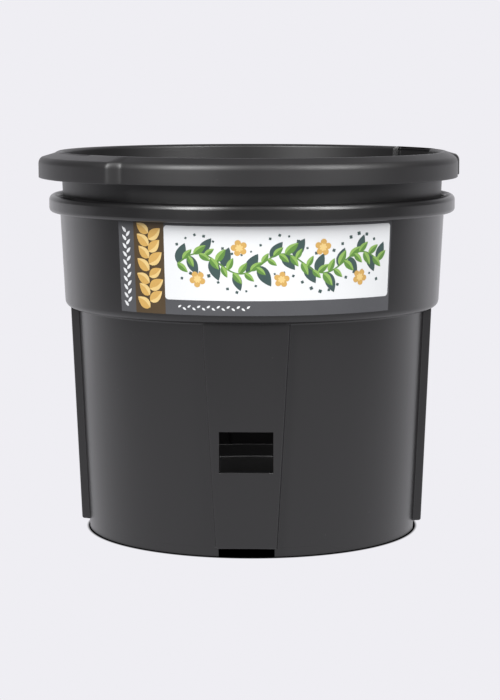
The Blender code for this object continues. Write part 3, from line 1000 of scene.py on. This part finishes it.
slate = printed_ink("slate_ink", (0.050, 0.051, 0.055), (0.068, 0.069, 0.074))
white = printed_ink("white_ink", (0.56, 0.57, 0.575), (0.52, 0.53, 0.535))
soil_brown = printed_ink("soil_brown_ink", (0.044, 0.026, 0.009), (0.070, 0.044, 0.016))
gold = printed_ink("gold_ink", (0.47, 0.29, 0.080), (0.35, 0.20, 0.048))
pale_gold = printed_ink("pale_gold_ink", (0.58, 0.43, 0.18), (0.48, 0.32, 0.11))
leaf_green = printed_ink("leaf_green_ink", (0.082, 0.185, 0.034), (0.054, 0.130, 0.022))
fresh_green = printed_ink("fresh_green_ink", (0.200, 0.330, 0.080), (0.145, 0.260, 0.052))
deep_teal = printed_ink("deep_teal_ink", (0.033, 0.062, 0.058), (0.024, 0.046, 0.043))

film = film_patch(
    "label_film", label_left, label_right, label_low.z, label_high.z, film_rounding,
    film_inside, film_outside, slate,
)
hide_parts("label")
film_patch(
    "label_gold_strip", strip_left, panel_left, label_low.z, label_high.z, strip_rounding,
    film_inside + 2 * ink, film_outside + ink, soil_brown,
)
film_patch(
    "label_white_panel", panel_left, panel_right, panel_low, panel_high, panel_rounding,
    film_inside + 2 * ink, film_outside + 2 * ink, white,
)

first_layer = film_outside - motif_thickness + 3 * ink
second_layer = first_layer + ink
third_layer = second_layer + ink
panel_middle_height = (panel_low + panel_high) / 2
vine_start = panel_left + 12.0 * MM
vine_length = panel_right - panel_left - 26.0 * MM
vine_waves = 2.5
vine_height = 8.5 * MM
crest_spacing = vine_length / (2 * vine_waves)
vine = {"Length": vine_length, "Wave_height": vine_height, "Waves": vine_waves, "Along": vine_start}
vine["Up"] = panel_middle_height
crests = {"Length": vine_length - crest_spacing, "Along": vine_start + crest_spacing / 2}
crests["Up"] = panel_middle_height

print_motifs(
    "label_vine_stem", leaf_outline(2.2 * MM, 1.3 * MM, points=4), leaf_green, 230,
    Proud=first_layer, **vine
)
print_motifs(
    "label_deep_leaves", leaf_outline(19.0 * MM, 9.4 * MM), deep_teal, 19, 4,
    Lean=math.radians(62.0), Vary=0.18, Turn=0.20, Proud=first_layer, **vine
)
print_motifs(
    "label_green_leaves", leaf_outline(12.5 * MM, 5.8 * MM), leaf_green, 38, 4,
    Lean=math.radians(-48.0), Vary=0.22, Turn=0.30, Proud=second_layer, **vine
)
print_motifs(
    "label_fresh_half_leaves", leaf_outline(12.5 * MM, 5.8 * MM, low=0.0), fresh_green, 38, 4,
    Lean=math.radians(-48.0), Vary=0.22, Turn=0.30, Proud=third_layer, **vine
)
print_motifs(
    "label_blossoms", petal_outline(7.2 * MM, 5), gold, 5, 4,
    Beside=-13.5 * MM, Vary=0.08, Turn=0.5, Proud=second_layer, **crests
)
print_motifs(
    "label_blossom_hearts", petal_outline(3.4 * MM, 7), pale_gold, 5, 2,
    Beside=-13.5 * MM, Vary=0.08, Turn=0.5, Proud=third_layer, **crests
)
print_motifs(
    "label_berries", petal_outline(1.5 * MM, 4), deep_teal, 46,
    Beside=16.0 * MM, Vary=0.35, Turn=0.5, Proud=first_layer, **vine
)

strip_middle = (strip_left + panel_left) / 2
band_middle = (label_left + strip_left) / 2
column = {"Rise": label_high.z - label_low.z - 14.0 * MM, "Up": label_low.z + 5.0 * MM}
print_motifs(
    "label_gold_leaves", leaf_outline(15.5 * MM, 9.4 * MM), gold, 13, 4,
    Lean=math.radians(52.0), Vary=0.12, Turn=0.12, Along=strip_middle, Proud=first_layer, **column
)
print_motifs(
    "label_pale_gold_leaves", leaf_outline(15.5 * MM, 9.4 * MM, high=0.0), pale_gold, 13, 4,
    Lean=math.radians(52.0), Vary=0.12, Turn=0.12, Along=strip_middle, Proud=second_layer, **column
)
print_motifs(
    "label_pale_sprig", leaf_outline(6.4 * MM, 2.6 * MM), white, 19, 2,
    Lean=math.radians(42.0), Along=band_middle, Proud=first_layer, **column
)
print_motifs(
    "label_edge_leaves", leaf_outline(3.6 * MM, 1.7 * MM), white, 15,
    Length=60.0 * MM, Lean=math.radians(35.0), Along=panel_left + 12.0 * MM,
    Up=(label_low.z + panel_low) / 2, Proud=first_layer,
)


# The camera stands a little to the right of the front and above the pot, with a long lens.
pots_from_camera = 2.058
camera_height = 425.8 * MM
camera_turn = 1.8
camera_aside = 0.0515
camera_pitch = 7.25
camera_lens = 114.43
picture_height = 36.0
camera = bpy.data.objects.new("camera", bpy.data.cameras.new("camera"))
camera.data.sensor_fit = "VERTICAL"
camera.data.sensor_height = picture_height
camera.data.lens = camera_lens
camera.location = on_circle(pots_from_camera, camera_turn, camera_height)
camera.rotation_euler = (
    math.radians(90.0 - camera_pitch),
    0.0,
    math.radians(camera_turn + camera_aside),
)
bpy.context.scene.collection.objects.link(camera)
bpy.context.scene.camera = camera


# The studio is a pale room with a plain pale floor. Two tall strip lights stand in front, to the left
# and right. What lights the pots is brightest behind them and on the floor round them, and weak in
# front and overhead. The floor's glow is painted dark under the pot and in a thin ring round its foot: a
# painted contact shadow, not a cast one.
pale = (0.863, 0.855, 0.896, 1.0)
floor_radius = 14.0
# Radii of the painted contact shadow: no glow inside the first, full glow beyond the second.
painted_foot_shadow = (body_radius(0.0) + 0.8 * MM, body_radius(0.0) + 3.2 * MM)


def glow(tree, place, dim, bright, near, far):
    """A strength that rises from front to back, between two places along Y."""
    back = shader(tree, "ShaderNodeSeparateXYZ", {"Vector": place}).outputs[1]
    return ramp(tree, back, near, far, dim, bright, interpolation_type="SMOOTHSTEP")


def seen_or_lighting(tree, seen, lighting):
    """The strength that the camera sees, or the one that lights the pots."""
    looking = shader(tree, "ShaderNodeLightPath").outputs["Is Camera Ray"]
    choice = {0: looking, 2: lighting, 3: seen}
    return shader(tree, "ShaderNodeMix", choice, data_type="FLOAT").outputs[0]


world = bpy.data.worlds.new("pale_room")
world.use_nodes = True
room = world.node_tree
direction = shader(room, "ShaderNodeTexCoord").outputs["Object"]
around = glow(room, direction, dim=0.19, bright=1.4, near=0.5, far=1.05)
upward = shader(room, "ShaderNodeSeparateXYZ", {"Vector": direction}).outputs[2]
overhead = ramp(room, upward, start=0.3, stop=0.95, low=0.0, high=0.25)
brightest = shader(room, "ShaderNodeMath", {0: around, 1: overhead}, operation="MAXIMUM").outputs[0]
backdrop = room.nodes["Background"]
backdrop.inputs["Color"].default_value = pale
room.links.new(seen_or_lighting(room, 1.0, brightest), backdrop.inputs["Strength"])
bpy.context.scene.world = world
bpy.context.scene.view_settings.view_transform = "Standard"

floor_mesh = bmesh.new()
bmesh.ops.create_circle(floor_mesh, cap_ends=True, segments=96, radius=floor_radius)
floor = finished("floor", floor_mesh)
floor_finish = bpy.data.materials.new("pale_floor")
floor_finish.use_nodes = True
ground = floor_finish.node_tree
spot = shader(ground, "ShaderNodeTexCoord").outputs["Object"]
from_axis = shader(ground, "ShaderNodeVectorMath", {0: spot}, operation="LENGTH").outputs["Value"]
# Painted shadow: the floor's glow is cut to nothing under the pot and ramps up over a thin ring round
# its foot.
outside_painted_shadow = ramp(ground, from_axis, *painted_foot_shadow, low=0.0, high=1.0)
behind = glow(ground, spot, dim=0.20, bright=1.35, near=-0.1, far=0.9)
near_pots = ramp(ground, from_axis, start=1.2, stop=1.8, low=1.1, high=0.0)
reflected = shader(ground, "ShaderNodeMath", {0: behind, 1: near_pots}, operation="MAXIMUM").outputs[0]
strength = seen_or_lighting(ground, 1.0, reflected)
lit = shader(ground, "ShaderNodeMath", {0: strength, 1: outside_painted_shadow}, operation="MULTIPLY").outputs[0]
floor_surface = ground.nodes["Principled BSDF"]
floor_surface.inputs["Base Color"].default_value = (0.0, 0.0, 0.0, 1.0)
floor_surface.inputs["Roughness"].default_value = 1.0
floor_surface.inputs["Specular IOR Level"].default_value = 0.0
floor_surface.inputs["Emission Color"].default_value = pale
ground.links.new(lit, floor_surface.inputs["Emission Strength"])
floor.data.materials.append(floor_finish)


def strip_light(name, angle, width, power, aim=0.3, elevation=36.0, distance=2.0, height=1.5):
    """A tall area light in front of the pots, turned to a point on their axis."""
    light = bpy.data.lights.new(name, "AREA")
    light.shape = "RECTANGLE"
    light.size = width
    light.size_y = height
    light.energy = power
    lamp = bpy.data.objects.new(name, light)
    flat = distance * math.cos(math.radians(elevation))
    lamp.location = on_circle(flat, angle, aim + distance * math.sin(math.radians(elevation)))
    lamp.rotation_euler = (math.radians(90.0 - elevation), 0.0, math.radians(angle))
    bpy.context.scene.collection.objects.link(lamp)


strip_light("strip_light_left", angle=-35.2, width=0.40, power=60.0)
strip_light("strip_light_right", angle=47.9, width=0.45, power=52.0)
